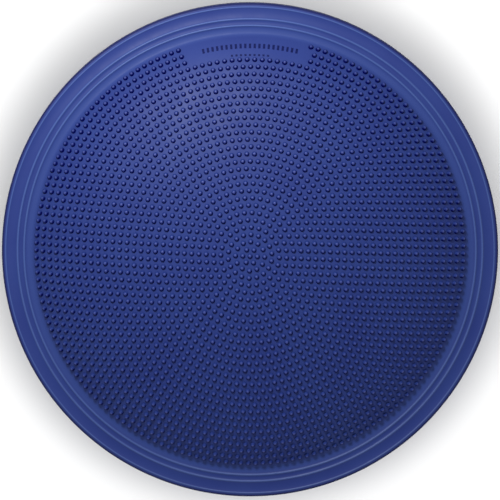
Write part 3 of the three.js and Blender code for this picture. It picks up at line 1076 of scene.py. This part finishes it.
class TRAINER_OT_valve(bpy.types.Operator):
    """Build the valve's well, its seat and the plug with its pull loop"""

    bl_idname = "trainer.valve"
    bl_label = "Valve"

    def execute(self, context):
        sizes = context.scene.valve_sizes
        colours = context.scene.trainer_colours
        self.well(sizes, colours)
        self.seat(sizes, colours)
        self.plug(sizes, colours)
        return {"FINISHED"}

    def well(self, sizes, colours):
        outer = WELL_HIGH.x
        wall = outer - WELL_LIP
        inner = wall - sizes.well_wall
        low, high = WELL_LOW.z, WELL_HIGH.z
        under = high - sizes.well_flange
        outline = [(inner, low), (wall, low), (wall, under), (outer, under), (outer, high), (inner, high)]
        tube = ring_of(outline, 0.0008, 120)
        soften(tube)
        piece("well_tube", tube, base_plastic(colours), replaces=("valve_well",))

    def seat(self, sizes, colours):
        outer = SEAT_HIGH.x
        low, high = SEAT_LOW.z, SEAT_HIGH.z
        under = high - sizes.flange
        outline = [
            (sizes.bore, low),
            (sizes.stem, low),
            (sizes.stem, under),
            (outer, under),
            (outer, high),
            (sizes.bore, high),
        ]
        seat = ring_of(outline, 0.0005, 64)
        soften(seat)
        piece("valve_seat", seat, skin_pvc(colours), replaces=("valve_body",))

    def plug(self, sizes, colours):
        radius = PLUG_HIGH.x
        top = sizes.head_top
        bottom = top - sizes.head
        tip = PLUG_HIGH.z
        edge = sizes.head_edge
        outline = [(0, bottom), *arc((radius - edge, bottom + edge), edge, -QUARTER_TURN, 0, 4)]
        outline += arc((radius - edge / 2, top - edge / 2), edge / 2, 0, QUARTER_TURN, 2)
        run = (tip - sizes.tip - top) / sizes.ridges
        for i in range(sizes.ridges):
            start = top + run * i
            outline += [
                (sizes.shank - sizes.ridge, start),
                (sizes.shank - sizes.ridge, start + run * 0.3),
                (sizes.shank, start + run * 0.5),
                (sizes.shank, start + run * 0.8),
            ]
        outline += [(sizes.shank - 0.0014, tip), (0, tip)]
        bm = bmesh.new()
        spin_outline(bm, outline, 56)
        loop = bmesh.new()
        centre = Vector((0, 0, bottom - sizes.pull / 2))
        ring = bmesh.ops.create_circle(loop, segments=16, radius=sizes.wire)
        bmesh.ops.translate(loop, vec=centre + Vector((sizes.pull, 0, 0)), verts=ring["verts"])
        bmesh.ops.spin(
            loop, geom=loop.verts[:] + loop.edges[:], cent=centre, axis=(0, 1, 0), angle=FULL_TURN,
            steps=48, use_merge=True
        )
        bmesh.ops.recalc_face_normals(loop, faces=loop.faces)
        take(bm, loop)
        soften(bm)
        material = plug_plastic(colours)
        piece("plug_with_pull", bm, material, body="plug", replaces=("valve_plug",))


class TRAINER_OT_studio(bpy.types.Operator):
    """Make the floor, the soft light and the camera"""

    bl_idname = "trainer.studio"
    bl_label = "Studio"

    def execute(self, context):
        studio = context.scene.studio_sizes
        colours = context.scene.trainer_colours
        self.floor(colours)
        self.surround(context.scene, studio)
        self.lamps(studio)
        self.camera(context.scene, studio)
        context.scene.view_settings.view_transform = "Standard"
        return {"FINISHED"}

    def floor(self, colours):
        bm = bmesh.new()
        bmesh.ops.create_grid(bm, x_segments=1, y_segments=1, size=FLOOR_HALF_SIDE)
        mesh = bpy.data.meshes.new("studio_floor")
        bm.to_mesh(mesh)
        bm.free()
        floor = bpy.data.objects.new("studio_floor", mesh)
        bpy.context.scene.collection.objects.link(floor)
        material, tree, principled = shader("studio_floor", colours.floor, 0.9)
        principled.inputs["Specular IOR Level"].default_value = 0.1
        # Painted shadow: the floor darkens towards the rim, round a centre moved a little along +y.
        reach = from_axis(tree, FLOOR_SHIFT)
        away = remap(tree, reach, RIM_RADIUS, RIM_RADIUS * FLOOR_FADE, smooth=True)
        feed(tree, principled.inputs["Base Color"], mix(tree, away, colours.floor_painted_shadow, colours.floor))
        self.open_below(tree, principled)
        mesh.materials.append(material)
        floor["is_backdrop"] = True

    def open_below(self, tree, principled):
        """Lets a view from under the floor see through it."""
        side = tree.nodes.new("ShaderNodeNewGeometry")
        clear = tree.nodes.new("ShaderNodeBsdfTransparent")
        choose = tree.nodes.new("ShaderNodeMixShader")
        tree.links.new(side.outputs["Backfacing"], choose.inputs["Fac"])
        tree.links.new(principled.outputs["BSDF"], choose.inputs[1])
        tree.links.new(clear.outputs["BSDF"], choose.inputs[2])
        tree.links.new(choose.outputs["Shader"], tree.nodes["Material Output"].inputs["Surface"])

    def surround(self, scene, studio):
        world = bpy.data.worlds.new("studio_surround")
        world.use_nodes = True
        scene.world = world
        tree = world.node_tree
        background = tree.nodes["Background"]
        place = tree.nodes.new("ShaderNodeTexCoord")
        split = tree.nodes.new("ShaderNodeSeparateXYZ")
        ramp = tree.nodes.new("ShaderNodeValToRGB")
        tree.links.new(place.outputs["Generated"], split.inputs["Vector"])
        tree.links.new(split.outputs["Z"], ramp.inputs["Fac"])
        tree.links.new(ramp.outputs["Color"], background.inputs["Color"])
        low, high = ramp.color_ramp.elements
        low.position, high.position = SKY_FROM, 1.0
        low.color, high.color = (1, 1, 1, 1), (SKY_TOP, SKY_TOP, SKY_TOP, 1)
        background.inputs["Strength"].default_value = studio.world

    def lamps(self, studio):
        """Makes a key lamp above and a weak one below, which light and are blocked by the trainer alone."""
        lit = bpy.data.collections.new("lit_by_lamps")
        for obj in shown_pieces():
            lit.objects.link(obj)
        for name, place, size, power in (
            ("key", KEY_PLACE, KEY_SIZE, studio.key_power),
            ("under", UNDER_PLACE, UNDER_SIZE, studio.under_power),
        ):
            data = bpy.data.lights.new(name, "AREA")
            data.shape = "DISK"
            data.size = size
            data.energy = power
            light = bpy.data.objects.new(name, data)
            light.location = place
            light.rotation_euler = place.to_track_quat("Z", "Y").to_euler()
            light.visible_camera = False
            bpy.context.scene.collection.objects.link(light)
            light.light_linking.receiver_collection = lit
            light.light_linking.blocker_collection = lit

    def camera(self, scene, studio):
        data = bpy.data.cameras.new("camera")
        data.lens = studio.lens
        data.clip_end = 40
        camera = bpy.data.objects.new("camera", data)
        scene.collection.objects.link(camera)
        back = Vector((0, math.sin(studio.tilt), math.cos(studio.tilt)))
        camera.location = AIM + back * studio.distance
        camera.rotation_euler = (-studio.tilt, 0, 0)
        scene.camera = camera


class TRAINER_PT_panel(bpy.types.Panel):
    """Sizes, colours and the build steps of the trainer"""

    bl_idname = "TRAINER_PT_panel"
    bl_label = "Balance Dome Trainer"
    bl_space_type = "VIEW_3D"
    bl_region_type = "UI"
    bl_category = "Trainer"

    def draw(self, context):
        for group in GROUPS:
            box = self.layout.box()
            box.label(text=group)
            values = getattr(context.scene, group)
            for name in values.bl_rna.properties.keys():
                if name not in ("rna_type", "name"):
                    box.prop(values, name)
        for operator in OPERATORS:
            self.layout.operator(operator.bl_idname)


GROUPS = {
    "dome_sizes": DomeSizes,
    "nub_sizes": NubSizes,
    "mark_sizes": MarkSizes,
    "platform_sizes": PlatformSizes,
    "valve_sizes": ValveSizes,
    "trainer_colours": TrainerColours,
    "studio_sizes": StudioSizes,
}
OPERATORS = (
    TRAINER_OT_dome_skin,
    TRAINER_OT_nubs,
    TRAINER_OT_mark,
    TRAINER_OT_platform,
    TRAINER_OT_valve,
    TRAINER_OT_studio,
)


def register():
    for cls in (*GROUPS.values(), *OPERATORS, TRAINER_PT_panel):
        bpy.utils.register_class(cls)
    for name, cls in GROUPS.items():
        setattr(bpy.types.Scene, name, PointerProperty(type=cls))


def unregister():
    for name in GROUPS:
        delattr(bpy.types.Scene, name)
    for cls in reversed((*GROUPS.values(), *OPERATORS, TRAINER_PT_panel)):
        bpy.utils.unregister_class(cls)


def main():
    register()
    for operator in OPERATORS:
        group, name = operator.bl_idname.split(".")
        getattr(getattr(bpy.ops, group), name)()


if __name__ == "__main__":
    main()
